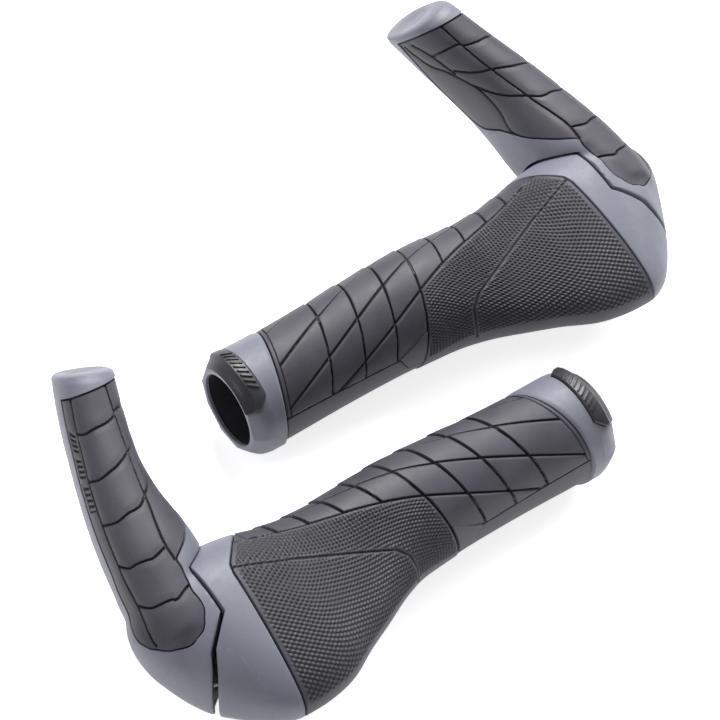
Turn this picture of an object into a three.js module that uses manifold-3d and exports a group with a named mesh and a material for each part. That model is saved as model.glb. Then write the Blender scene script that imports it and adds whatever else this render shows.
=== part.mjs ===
// A pair of ergonomic handlebar grips with integrated bar ends.
// Millimetres, +Z up. Each grip is drawn as a right-hand grip with its handlebar axis on X:
// x = 0 is the inner end, +X points to the outer end, +Y forward to the bar end, -Y to the palm wing.
// The left-hand grip is the mirror image, laid beside it.
import * as THREE from 'three';
import { mergeVertices } from 'three/addons/utils/BufferGeometryUtils.js';
import Module from 'manifold-3d';

const wasm = await Module();
wasm.setup();

// ---- driving dimensions ----------------------------------------------------------------------
const HANDLEBAR_RADIUS = 11.1;        // standard 22.2 mm handlebar
const GAP = 0.3;                      // clearance left between neighbouring pieces
const SLEEVE_RADIUS = 12.5;           // outside of the hard inner sleeve
const SLEEVE_START = 1.4;
const SLEEVE_END = 124;
const COLLAR_RADIUS = 15.9;
const COLLAR_CHAMFER = 3.6;           // the bevel at the inner rim, along the bar
const COLLAR_BLANK = 30;              // length of the collar's ring before its slanted cut
const RIM_RADIUS = 12.2;              // outer radius of the rim's front edge
const INSERT_HALF_ANGLE = 48;         // degrees, half the arc of the dark insert in the rim
const INSERT_CENTRE_ANGLE = 92;       // degrees from forward (+Y) towards up (+Z)
const INSERT_STEPS = 8;
const INSERT_LENGTH = 5.4;
const INSERT_EXCESS = 1;              // the cutting block starts this far outside the rim
const INSERT_PROUD = 0.5;             // how far the insert stands out of the collar
const INSERT_EDGE = 0.7;              // its thickness at the rim
const CLAMP_START = 127.7;            // clamp ring along the bar
const CLAMP_LENGTH = 8;
const CLAMP_RADIUS = 13.7;            // outside of the clamp ring
const CLAMP_BORE = 11.25;
const EAR_START = 127.7;              // the clamp's ears along the bar
const EAR_LENGTH = 9.8;
const SLIT_HEIGHT = 6;                // height of the clamp's slit above the bar axis
const SLIT_WIDTH = 1.6;
const EAR_END = 24;                   // how far forward the clamp's ears reach
const EAR_THICKNESS = 4;
const EAR_ROOT = 9;                   // where the ears begin, inside the ring
const EAR_LOW = SLIT_HEIGHT - SLIT_WIDTH / 2 - EAR_THICKNESS;
const EAR_HIGH = SLIT_HEIGHT + SLIT_WIDTH / 2 + EAR_THICKNESS;
const CAVITY_START = 127;             // the clamp's pocket opens at the parting face
const BOLT_X = EAR_START + EAR_LENGTH / 2;
const BOLT_Y = 19;
const BOLT_RADIUS = 2.5;              // M5
const BOLT_HEAD_RADIUS = 4.6;
const BOLT_HEAD_HEIGHT = 2.6;
const HEX_KEY = 3;                    // across flats
const SHANK_ROOT = 0.1;               // how far the shank runs into the head
const SOCKET_DEPTH = 1.8;
const NUT_ACROSS_FLATS = 8;
const NUT_HEIGHT = 4;
const WASHER_RADIUS = 4.9;
const WASHER_HEIGHT = 1;
const HEAD_SEAT = EAR_LOW - WASHER_HEIGHT - 2 * GAP;   // upper face of the bolt's head
const BOLT_TOP = EAR_HIGH + NUT_HEIGHT + GAP;          // upper end of the bolt's shank
const BAR_HOLE_END = 138;             // depth of the handlebar hole from the inner end
const PAD_THICKNESS = 2.2;            // rubber on the bar end
const PART_GAP = 0.7;                 // parting gap between grip and bar end
const SWIVEL_STEPS = [-8.5, -4, 0, 2.5];       // degrees, swept clearance of the swivel
const LEFT_OFFSET = [80.4, -59.5];    // where the left grip lies beside the right one

const AROUND = 32;                    // facets round the grip
const BORE_FACETS = 32;

// ---- materials -------------------------------------------------------------------------------
const material = (color, roughness, metalness = 0) =>
  new THREE.MeshStandardMaterial({ color, roughness, metalness });
const GREY_PLASTIC = material(0x80838f, 0.5);
const BLACK_RUBBER = material(0x47454c, 0.75);
const BLACK_PLASTIC = material(0x2c2b30, 0.55);
const ALLOY = material(0xb4b6ba, 0.35, 1);
const BLACK_STEEL = material(0x2a2a2c, 0.4, 1);
const ZINC_STEEL = material(0x9a9ca0, 0.35, 1);

// ---- solids ----------------------------------------------------------------------------------
function toSolid(geometry) {
  const bare = geometry.index ? geometry.clone() : geometry;
  bare.deleteAttribute('normal');
  bare.deleteAttribute('uv');
  const merged = mergeVertices(bare, 1e-4);
  return new wasm.Manifold(new wasm.Mesh({
    numProp: 3,
    vertProperties: new Float32Array(merged.attributes.position.array),
    triVerts: new Uint32Array(merged.index.array),
  }));
}

function toGeometry(solid) {
  const { vertProperties, triVerts, numProp } = solid.getMesh();
  const count = vertProperties.length / numProp;
  const position = new Float32Array(count * 3);
  for (let i = 0; i < count; i += 1) {
    for (let k = 0; k < 3; k += 1) position[3 * i + k] = vertProperties[numProp * i + k];
  }
  const geometry = new THREE.BufferGeometry();
  geometry.setAttribute('position', new THREE.BufferAttribute(position, 3));
  geometry.setIndex(Array.from(triVerts));
  return geometry;
}

// A skin through rings of equal point count, closed by a fan at each end.
function loft(rings) {
  const size = rings[0].length;
  const points = rings.flat();
  const index = [];
  for (let k = 0; k + 1 < rings.length; k += 1) {
    for (let i = 0; i < size; i += 1) {
      const next = (i + 1) % size;
      const [a, b] = [k * size + i, k * size + next];
      index.push(a, b, b + size, a, b + size, a + size);
    }
  }
  const last = (rings.length - 1) * size;
  for (const [start, forward] of [[0, false], [last, true]]) {
    const middle = points.length;
    points.push(centreOf(points.slice(start, start + size)));
    for (let i = 0; i < size; i += 1) {
      const [a, b] = [start + i, start + (i + 1) % size];
      index.push(middle, forward ? a : b, forward ? b : a);
    }
  }
  const geometry = new THREE.BufferGeometry().setFromPoints(points);
  geometry.setIndex(index);
  return toSolid(geometry);
}

function centreOf(points) {
  const sum = points.reduce((total, p) => total.add(p), new THREE.Vector3());
  return sum.divideScalar(points.length);
}

// A round bar along X.
function barX(radius, start, end, facets = BORE_FACETS) {
  const geometry = new THREE.CylinderGeometry(radius, radius, end - start, facets);
  geometry.rotateZ(-Math.PI / 2);
  geometry.translate((start + end) / 2, 0, 0);
  return toSolid(geometry);
}

// A round or many-sided bar along Z.
function barZ(radius, x, y, low, high, facets = 24) {
  const geometry = new THREE.CylinderGeometry(radius, radius, high - low, facets);
  geometry.rotateX(Math.PI / 2);
  geometry.translate(x, y, (low + high) / 2);
  return toSolid(geometry);
}

function box(low, high) {
  const size = high.map((value, k) => value - low[k]);
  const geometry = new THREE.BoxGeometry(...size);
  geometry.translate(...high.map((value, k) => (value + low[k]) / 2));
  return toSolid(geometry);
}

// A plan outline of [x, y] points, raised from z = low to z = high.
function raised(outline, low, high) {
  const shape = new THREE.Shape(outline.map(([x, y]) => new THREE.Vector2(x, y)));
  const geometry = new THREE.ExtrudeGeometry(shape, { depth: high - low, bevelEnabled: false });
  geometry.translate(0, 0, low);
  return toSolid(geometry);
}

function turned(profile, facets = BORE_FACETS) {
  // profile: [x, radius] pairs, closed; turned round the X axis
  const geometry = new THREE.LatheGeometry(
    profile.map(([x, radius]) => new THREE.Vector2(radius, x)), facets);
  geometry.rotateZ(-Math.PI / 2);
  return toSolid(geometry);
}

// ---- the grip's outer form -------------------------------------------------------------------
// Stations along the bar: x, centre height, main radius, wing reach to the rear, wing tip height,
// wing tip radius.
const GRIP_STATIONS = [
  [0, 0, 15.4, 2, 0, 5],
  [13, 0.2, 15.4, 2, 0, 5],
  [32, 1.2, 15.5, 4, 1, 5],
  [50, 2.1, 16.0, 6, 2, 5],
  [63, 2.3, 16.5, 9, 2.5, 5.5],
  [76, 2.2, 15.9, 15, 3.2, 6],
  [86, 2.2, 15.4, 20.5, 3.8, 6],
  [95, 2.4, 15.6, 25, 4.3, 6],
  [104, 2.8, 16.8, 30, 4.7, 6],
  [112, 3.2, 18.3, 32, 4.9, 6],
  [120, 3.5, 19.0, 32.3, 4.9, 6],
  [127, 3.9, 19.1, 29.8, 4.3, 5.8],
  [132, 3.6, 18.8, 25.6, 3.6, 5.2],
  [137, 3.1, 17.7, 19.8, 3.2, 4.6],
  [141, 4.6, 14.0, 14.0, 3.4, 4.2],
  [144, 6.6, 10.8, 8, 5, 4],
  [146, 7.8, 7.8, 5, 6, 3],
  [147.3, 8.8, 4.3, 2, 8, 2],
  [147.8, 9.2, 1.5, 0.5, 9, 0.8],
];
const DOME_SPAN = [134, 147.8];       // where the outer end closes to a dome
const HULL_POWER = 7;                 // how crisply the wing's flat joins the round body

// Support-function blend of the round body and the wing tip: one smooth convex outline.
function gripRing([x, height, radius, reach, tipHeight, tipRadius], grow = 0) {
  const ring = [];
  for (let i = 0; i < AROUND; i += 1) {
    const angle = 2 * Math.PI * i / AROUND;
    const [c, s] = [Math.cos(angle), Math.sin(angle)];
    const body = Math.max(0.3, radius + grow);
    const lift = tipHeight - height;
    const tip = tipRadius + grow - reach * c + lift * s;
    const tipSlope = tip > 0 ? reach * s + lift * c : 0;
    const support = (body ** HULL_POWER + Math.max(0, tip) ** HULL_POWER) ** (1 / HULL_POWER);
    const slope = tipSlope * (Math.max(0, tip) / support) ** (HULL_POWER - 1);
    ring.push(new THREE.Vector3(x + grow * THREE.MathUtils.smoothstep(x, ...DOME_SPAN),
      support * c - slope * s, height + support * s + slope * c));
  }
  return ring;
}

const gripForm = (grow = 0) => loft(GRIP_STATIONS.map((station) => gripRing(station, grow)));

// Everything with x below the line through the given [x, y] points.
const FAR = 60;
function inboardOf(line, shift) {
  const edge = line.map(([x, y]) => [x + shift, y]);
  return raised([[-FAR, edge[0][1]], ...edge, [-FAR, edge.at(-1)[1]]], -FAR, FAR);
}
const COLLAR_EDGE = [[2.7, -40], [26, 40]];
const PALM_PAD_EDGE = [[121.6, -50], [118.2, -2], [117.4, 1], [108.5, 13], [100, 24.5], [100, 40]];
const PARTING = [[149, -50], [138.6, -23], [136, -19.5], [134.2, -16.2], [127.2, -10], [127.2, 40]];

// ---- the bar end's outer form ----------------------------------------------------------------
const BAR_END_ORIGIN_Y = 40;
const BAR_END_SPAN = 30;
const BAR_END_LEAN = 0.1;             // radians, the tall axis leans outward
// The axis and the section's half sizes, as terms of u, the distance from the origin in spans.
const AXIS_X = [127.9, -7.2, -2.5];
const AXIS_Z = [15.7, 8.7, 2.9];
const HALF_WIDTH = [9.7, -1.6];
const HALF_HEIGHT = [15.2, -1.75, -0.7];

const inSpans = (y) => (y - BAR_END_ORIGIN_Y) / BAR_END_SPAN;
const sumOf = (terms, u) => terms.reduce((total, term, power) => total + term * u ** power, 0);

function barEndAxis(y) {
  const u = inSpans(y);
  return new THREE.Vector3(sumOf(AXIS_X, u), y, sumOf(AXIS_Z, u));
}

// The end face looks up and inward more steeply than the axis does.
const BAR_END_FACE = new THREE.Vector3(-0.3, 0.64, 0.71).normalize();
const FACE_BLEND = [42, 66];          // y where the sections start and finish turning to that face

// Rows: y, share of half-width to the inner side, share to the outer side, share of half-height.
const BAR_END_STATIONS = [
  [-9, 0.3, 0.9, 0.72],
  [-3, 0.45, 1, 0.84],
  [4, 0.8, 1.04, 0.9],
  [12, 1.25, 1.04, 0.96],
  [20, 1.35, 1, 1],
  [28, 1.3, 1, 1],
  [38, 1.12, 1, 1],
  [50, 1, 1, 1],
  [60, 1.01, 1.04, 1],
  [71, 1.01, 1.07, 1],
  [72.5, 1, 1.06, 0.94],
  [73.1, 0.92, 0.97, 0.91],
  [73.4, 0.7, 0.76, 0.7],
  [73.5, 0.36, 0.42, 0.36],
];
const SECTION_POWER = 2.3;            // superellipse exponent of the bar end's section

function barEndRing([y, inner, outer, tall], inset = 0) {
  const centre = barEndAxis(y);
  const along = barEndAxis(y + 0.5).sub(barEndAxis(y - 0.5)).normalize();
  const side = new THREE.Vector3(1, 0, 0).projectOnPlane(along).normalize();
  const up = new THREE.Vector3().crossVectors(side, along);
  side.applyAxisAngle(along, BAR_END_LEAN);
  up.applyAxisAngle(along, BAR_END_LEAN);
  const halfWidth = sumOf(HALF_WIDTH, inSpans(y));
  const halfHeight = sumOf(HALF_HEIGHT, inSpans(y)) * tall - inset;
  const turn = THREE.MathUtils.smoothstep(y, ...FACE_BLEND);
  const face = along.clone().lerp(BAR_END_FACE, turn).normalize();
  const soft = (value) => Math.sign(value) * Math.abs(value) ** (2 / SECTION_POWER);
  const ring = [];
  for (let i = 0; i < AROUND; i += 1) {
    const angle = 2 * Math.PI * i / AROUND;
    const [c, s] = [Math.cos(angle), Math.sin(angle)];
    const reach = halfWidth * (s > 0 ? outer : inner) - inset;
    const offset = up.clone().multiplyScalar(halfHeight * soft(c))
      .addScaledVector(side, reach * soft(s));
    offset.addScaledVector(along, -offset.dot(face) / along.dot(face));
    ring.push(offset.add(centre));
  }
  return ring;
}

const barEndForm = (inset = 0) => loft(BAR_END_STATIONS.map((row) => barEndRing(row, inset)));

// ---- pieces (right-hand grip) ----------------------------------------------------------------
const handlebarHole = barX(HANDLEBAR_RADIUS, -FAR, BAR_HOLE_END);
const sleeveHole = barX(SLEEVE_RADIUS + GAP, SLEEVE_START - GAP, SLEEVE_END + GAP);
const form = gripForm();

// The sleeve's stiffening plate inside the palm wing: its plan outline and its lower and upper face.
const PLATE_ROOT_Y = -11;
const PLATE_MIDDLE_X = 100;
const PLATE_OUTLINE = [
  [80, PLATE_ROOT_Y], [88, -16], [PLATE_MIDDLE_X, -23], [108, -26], [115, -26.5], [115, PLATE_ROOT_Y],
];
const PLATE_HEIGHTS = [3, 6];
const wingPlate = (grow) => raised(
  PLATE_OUTLINE.map(([x, y]) => [
    x + (x > PLATE_MIDDLE_X ? grow : -grow), y + (y < PLATE_ROOT_Y ? -grow : grow)]),
  PLATE_HEIGHTS[0] - grow, PLATE_HEIGHTS[1] + grow);

function innerSleeve() {
  return barX(SLEEVE_RADIUS, SLEEVE_START, SLEEVE_END).add(wingPlate(0)).subtract(handlebarHole);
}

function arcBlock(grow) {
  const points = [new THREE.Vector2(0, 0)];
  for (let k = 0; k <= INSERT_STEPS; k += 1) {
    const turn = INSERT_CENTRE_ANGLE + INSERT_HALF_ANGLE * (2 * k / INSERT_STEPS - 1);
    const angle = THREE.MathUtils.degToRad(turn);
    points.push(new THREE.Vector2(2 * FAR * Math.cos(angle), 2 * FAR * Math.sin(angle)));
  }
  const geometry = new THREE.ExtrudeGeometry(new THREE.Shape(points),
    { depth: INSERT_LENGTH + grow + INSERT_EXCESS, bevelEnabled: false });
  geometry.rotateZ(Math.PI / 2);
  geometry.rotateY(Math.PI / 2);
  geometry.translate(-INSERT_EXCESS, 0, 0);
  return toSolid(geometry);
}

const collarRing = (grow = 0) => turned([
  [-grow, HANDLEBAR_RADIUS],
  [-grow, RIM_RADIUS + grow],
  [COLLAR_CHAMFER, COLLAR_RADIUS + grow],
  [COLLAR_BLANK, COLLAR_RADIUS + grow],
  [COLLAR_BLANK, HANDLEBAR_RADIUS],
  [-grow, HANDLEBAR_RADIUS],
]);

function collar() {
  return collarRing().intersect(inboardOf(COLLAR_EDGE, 0)).subtract(sleeveHole)
    .subtract(handlebarHole).subtract(arcBlock(GAP).subtract(barX(RIM_RADIUS - GAP, -FAR, FAR)));
}

// A raised block that follows the collar's chamfer, a little proud of it.
function collarInsert() {
  const bore = SLEEVE_RADIUS + GAP;
  const ring = turned([
    [-INSERT_PROUD, bore],
    [-INSERT_PROUD, bore + INSERT_EDGE],
    [COLLAR_CHAMFER - 1, COLLAR_RADIUS + INSERT_PROUD],
    [INSERT_LENGTH, COLLAR_RADIUS + INSERT_PROUD / 2],
    [INSERT_LENGTH, bore],
    [-INSERT_PROUD, bore],
  ]);
  return ring.intersect(arcBlock(-GAP));
}

function rubberGrip() {
  return form.intersect(inboardOf(PALM_PAD_EDGE, 0)).subtract(inboardOf(COLLAR_EDGE, GAP))
    .subtract(sleeveHole).subtract(wingPlate(GAP));
}

function outerFlank() {
  const clampHole = barX(CLAMP_RADIUS + 2 * GAP, CLAMP_START - 2 * GAP, 4 * FAR);
  return form.intersect(inboardOf(PARTING, -PART_GAP)).subtract(inboardOf(PALM_PAD_EDGE, GAP))
    .subtract(sleeveHole).subtract(handlebarHole).subtract(clampHole);
}

// ---- bar end pieces --------------------------------------------------------------------------
// Plan outline of the rubber pad, from its tip border round the outer side to the inner side.
const PAD_OUTLINE = [
  [100, 80], [127, 80], [127, 68], [132.3, 55], [139, 34], [142.3, 20], [144.4, 7], [144.6, -2],
  [142.5, -9], [139.5, -12], [136.5, -13], [133.2, -10.5], [131.2, -5.5], [129.4, 0.5], [129.8, 6.5],
  [128.6, 8.8], [123.7, 13], [119, 21.5], [117.2, 33.5], [112, 45], [100, 50],
];
// The pad meets the plain rounded tip along this plane.
const PAD_BORDER_POINT = new THREE.Vector3(122, 60.8, 36);
const PAD_BORDER_NORMAL = new THREE.Vector3(-0.07, 0.71, 0.7).normalize();
const PAD_LOWEST = 8;                 // the pad covers only surfaces above this height

// Everything behind the plane through point with the given outward normal.
function behind(point, normal) {
  const geometry = new THREE.BoxGeometry(4 * FAR, 4 * FAR, 4 * FAR);
  geometry.translate(0, 0, -2 * FAR);
  const turn = new THREE.Quaternion().setFromUnitVectors(new THREE.Vector3(0, 0, 1), normal);
  geometry.applyQuaternion(turn);
  geometry.translate(point.x, point.y, point.z);
  return toSolid(geometry);
}

const rootForm = (grow = 0) => gripForm(grow).subtract(inboardOf(PARTING, 0));

function padRegion(grow) {
  const corners = grow ? [[1, 1], [-1, 1], [-1, -1], [1, -1]] : [[0, 0]];
  const prisms = corners.map(([right, ahead]) => raised(
    PAD_OUTLINE.map(([x, y]) => [x + right * grow, y + ahead * grow]), PAD_LOWEST - grow, FAR));
  const border = PAD_BORDER_POINT.clone().addScaledVector(PAD_BORDER_NORMAL, grow);
  return prisms.reduce((total, prism) => total.add(prism))
    .intersect(behind(border, PAD_BORDER_NORMAL));
}

function barEndInside(inset) {
  return barEndForm(inset).add(rootForm(-inset));
}

function clampCavity() {
  const ring = barX(CLAMP_RADIUS + GAP, CAVITY_START, CLAMP_START + CLAMP_LENGTH + GAP);
  const ears = box([CAVITY_START, 0, EAR_LOW - GAP],
    [EAR_START + EAR_LENGTH + GAP, EAR_END + GAP, BOLT_TOP + 3 * GAP]);
  const screw = barZ(BOLT_HEAD_RADIUS + 2 * GAP, BOLT_X, BOLT_Y, -FAR, EAR_LOW);
  return ring.add(ears).add(screw).add(handlebarHole);
}

// The grip's outer flank, grown by the parting gap and swept through the swivel's travel.
function sweptFlank() {
  const flank = gripForm(PART_GAP).intersect(inboardOf(PARTING, 0));
  const turned = SWIVEL_STEPS.map((angle) => flank.rotate([-angle, 0, 0]));
  return turned.reduce((total, next) => total.add(next));
}

function barEndBody() {
  const bed = barEndInside(PAD_THICKNESS + GAP).intersect(barEndInside(PAD_THICKNESS));
  return barEndInside(0).subtract(padRegion(GAP).subtract(bed)).subtract(sweptFlank())
    .subtract(clampCavity());
}

function barEndPad() {
  return barEndInside(0).intersect(padRegion(0)).subtract(barEndInside(PAD_THICKNESS))
    .subtract(sweptFlank());
}

function clampRing() {
  const ring = barX(CLAMP_RADIUS, CLAMP_START, CLAMP_START + CLAMP_LENGTH);
  const ears = box([EAR_START, EAR_ROOT, EAR_LOW], [EAR_START + EAR_LENGTH, EAR_END, EAR_HIGH]);
  const slit = box([-FAR, 0, SLIT_HEIGHT - SLIT_WIDTH / 2],
    [4 * FAR, FAR, SLIT_HEIGHT + SLIT_WIDTH / 2]);
  return ring.add(ears).subtract(barX(CLAMP_BORE, -FAR, 4 * FAR)).subtract(slit)
    .subtract(barZ(BOLT_RADIUS + GAP, BOLT_X, BOLT_Y, -FAR, FAR));
}

function clampBolt() {
  const headBottom = HEAD_SEAT - BOLT_HEAD_HEIGHT;
  const shank = barZ(BOLT_RADIUS, BOLT_X, BOLT_Y, HEAD_SEAT - SHANK_ROOT, BOLT_TOP);
  const head = barZ(BOLT_HEAD_RADIUS, BOLT_X, BOLT_Y, headBottom, HEAD_SEAT);
  const socket = barZ(HEX_KEY / Math.sqrt(3), BOLT_X, BOLT_Y, -FAR, headBottom + SOCKET_DEPTH, 6);
  return head.add(shank).subtract(socket);
}

function clampWasher() {
  const seat = HEAD_SEAT + GAP;
  return barZ(WASHER_RADIUS, BOLT_X, BOLT_Y, seat, seat + WASHER_HEIGHT)
    .subtract(barZ(BOLT_RADIUS + GAP, BOLT_X, BOLT_Y, -FAR, FAR));
}

function clampNut() {
  const seat = EAR_HIGH + GAP;
  return barZ(NUT_ACROSS_FLATS / Math.sqrt(3), BOLT_X, BOLT_Y, seat, seat + NUT_HEIGHT, 6)
    .subtract(barZ(BOLT_RADIUS + GAP, BOLT_X, BOLT_Y, -FAR, FAR));
}

// ---- assembly --------------------------------------------------------------------------------
const PIECES = [
  ['inner_sleeve', innerSleeve, BLACK_PLASTIC],
  ['collar', collar, GREY_PLASTIC],
  ['collar_insert', collarInsert, BLACK_PLASTIC],
  ['rubber_grip', rubberGrip, BLACK_RUBBER],
  ['outer_flank', outerFlank, GREY_PLASTIC],
  ['bar_end_body', barEndBody, GREY_PLASTIC],
  ['bar_end_pad', barEndPad, BLACK_RUBBER],
  ['clamp_ring', clampRing, ALLOY],
  ['clamp_bolt', clampBolt, BLACK_STEEL],
  ['clamp_washer', clampWasher, ZINC_STEEL],
  ['clamp_nut', clampNut, ZINC_STEEL],
];

function mirrored(geometry) {
  const copy = geometry.clone();
  copy.scale(-1, 1, 1);
  const index = copy.index.array;
  for (let i = 0; i < index.length; i += 3) [index[i + 1], index[i + 2]] = [index[i + 2], index[i + 1]];
  return copy;
}

const pair = new THREE.Group();
const right = new THREE.Group();
const left = new THREE.Group();
left.position.set(...LEFT_OFFSET, 0);
pair.add(right, left);
for (const [name, make, look] of PIECES) {
  const geometry = toGeometry(make());
  for (const [group, side, shape] of [[right, 'right', geometry], [left, 'left', mirrored(geometry)]]) {
    const mesh = new THREE.Mesh(shape, look);
    mesh.name = `${side}_${name}`;
    group.add(mesh);
  }
}

// The pair stands on z = 0 with its box centred on the vertical axis.
pair.updateMatrixWorld(true);
const whole = new THREE.Box3().setFromObject(pair, true);
const middle = whole.getCenter(new THREE.Vector3());
pair.position.set(-middle.x, -middle.y, -whole.min.z);

const assembly = new THREE.Group();
assembly.add(pair);
export default assembly;
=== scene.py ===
"""The looks of a pair of ergonomic handlebar grips with integrated bar ends.

Every form is drawn once, in millimetres, as a right-hand grip: x runs along the handlebar from the
inner end outward, y points forward to the bar end, z up. The left-hand grip is its mirror image.
"""
import math

import bmesh
import bpy
import numpy as np
from mathutils import Matrix, Vector
from mathutils.bvhtree import BVHTree
from mathutils.kdtree import KDTree


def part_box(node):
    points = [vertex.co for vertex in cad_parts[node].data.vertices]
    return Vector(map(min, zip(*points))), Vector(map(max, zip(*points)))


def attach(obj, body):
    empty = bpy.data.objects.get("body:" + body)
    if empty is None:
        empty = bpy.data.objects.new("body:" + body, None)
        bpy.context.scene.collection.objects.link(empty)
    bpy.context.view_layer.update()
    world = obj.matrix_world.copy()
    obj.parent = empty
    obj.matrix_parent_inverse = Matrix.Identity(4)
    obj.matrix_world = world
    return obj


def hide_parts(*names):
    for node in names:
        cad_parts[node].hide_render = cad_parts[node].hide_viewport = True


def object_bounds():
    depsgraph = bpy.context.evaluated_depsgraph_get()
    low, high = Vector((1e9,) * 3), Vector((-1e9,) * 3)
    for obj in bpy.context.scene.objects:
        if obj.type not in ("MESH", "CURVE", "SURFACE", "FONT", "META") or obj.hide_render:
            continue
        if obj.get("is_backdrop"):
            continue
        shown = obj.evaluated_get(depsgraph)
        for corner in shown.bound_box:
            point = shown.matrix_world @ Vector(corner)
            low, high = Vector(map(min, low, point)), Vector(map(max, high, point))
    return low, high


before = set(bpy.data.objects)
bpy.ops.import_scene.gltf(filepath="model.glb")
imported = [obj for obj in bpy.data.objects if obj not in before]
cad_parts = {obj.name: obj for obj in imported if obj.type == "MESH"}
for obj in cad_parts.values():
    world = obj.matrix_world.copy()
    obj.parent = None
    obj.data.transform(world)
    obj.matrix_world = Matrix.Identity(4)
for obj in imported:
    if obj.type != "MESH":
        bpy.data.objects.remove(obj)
cad_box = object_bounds()

MM = 0.001
SIDES = {"right": 1, "left": -1}      # the sign of x on each side


def grip_origin(side):
    """Where a grip's own zero lies in the frame: on the bar's axis, at the collar's inner face."""
    low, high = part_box(f"{side}_collar")
    return np.array([low.x if side == "right" else high.x, (low.y + high.y) / 2, (low.z + high.z) / 2])


ORIGIN = {side: grip_origin(side) for side in SIDES}

# ---- camera, floor and light -------------------------------------------------------------------
VIEW_AZIMUTH = math.radians(35.23)
VIEW_ELEVATION = math.radians(49.81)
CAMERA_FROM_GRIP = Vector((-0.2747, -0.4530, 0.6474))   # from the right grip's origin, metres
LENS = 150
FLOOR_HALF = 3


def add_camera():
    data = bpy.data.cameras.new("camera")
    data.lens = LENS
    data.sensor_width = 36
    data.clip_start = 0.01
    camera = bpy.data.objects.new("camera", data)
    bpy.context.scene.collection.objects.link(camera)
    flat = math.cos(VIEW_ELEVATION)
    ahead = Vector((math.sin(VIEW_AZIMUTH) * flat, math.cos(VIEW_AZIMUTH) * flat, -math.sin(VIEW_ELEVATION)))
    camera.rotation_mode = "QUATERNION"
    camera.rotation_quaternion = ahead.to_track_quat("-Z", "Y")
    camera.location = Vector(ORIGIN["right"]) + CAMERA_FROM_GRIP
    bpy.context.scene.camera = camera


def add_floor():
    """A pale table, lit a little from within like a product photographer's."""
    mesh = bpy.data.meshes.new("floor")
    corners = [(-FLOOR_HALF, -FLOOR_HALF, 0), (FLOOR_HALF, -FLOOR_HALF, 0), (FLOOR_HALF, FLOOR_HALF, 0),
               (-FLOOR_HALF, FLOOR_HALF, 0)]
    mesh.from_pydata(corners, [], [(0, 1, 2, 3)])
    floor = bpy.data.objects.new("floor", mesh)
    bpy.context.scene.collection.objects.link(floor)
    material = bpy.data.materials.new("floor")
    material.use_nodes = True
    shader = material.node_tree.nodes["Principled BSDF"]
    shader.inputs["Base Color"].default_value = (0.76, 0.76, 0.765, 1)
    shader.inputs["Roughness"].default_value = 0.9
    shader.inputs["Specular IOR Level"].default_value = 0.1
    shader.inputs["Emission Color"].default_value = (1, 1, 1, 1)
    shader.inputs["Emission Strength"].default_value = 0.76
    mesh.materials.append(material)
    floor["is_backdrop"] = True


def add_light(name, place, size, power):
    data = bpy.data.lights.new(name, "AREA")
    data.shape = "DISK"
    data.size = size
    data.energy = power
    light = bpy.data.objects.new(name, data)
    bpy.context.scene.collection.objects.link(light)
    light.location = place
    light.rotation_mode = "QUATERNION"
    light.rotation_quaternion = (-Vector(place)).to_track_quat("-Z", "Y")


def add_studio():
    world = bpy.data.worlds.new("studio")
    world.use_nodes = True
    world.node_tree.nodes["Background"].inputs["Color"].default_value = (1, 1, 1, 1)
    world.node_tree.nodes["Background"].inputs["Strength"].default_value = 0.32
    bpy.context.scene.world = world
    add_light("key", (0.42, 0.62, 1.05), 0.5, 26)
    add_light("fill", (-0.9, 0.1, 1.1), 0.5, 4)
    add_light("rim", (1.1, 0, 0.7), 0.5, 8)
    bpy.context.scene.view_settings.view_transform = "Standard"


add_camera()
add_floor()
add_studio()


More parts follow.
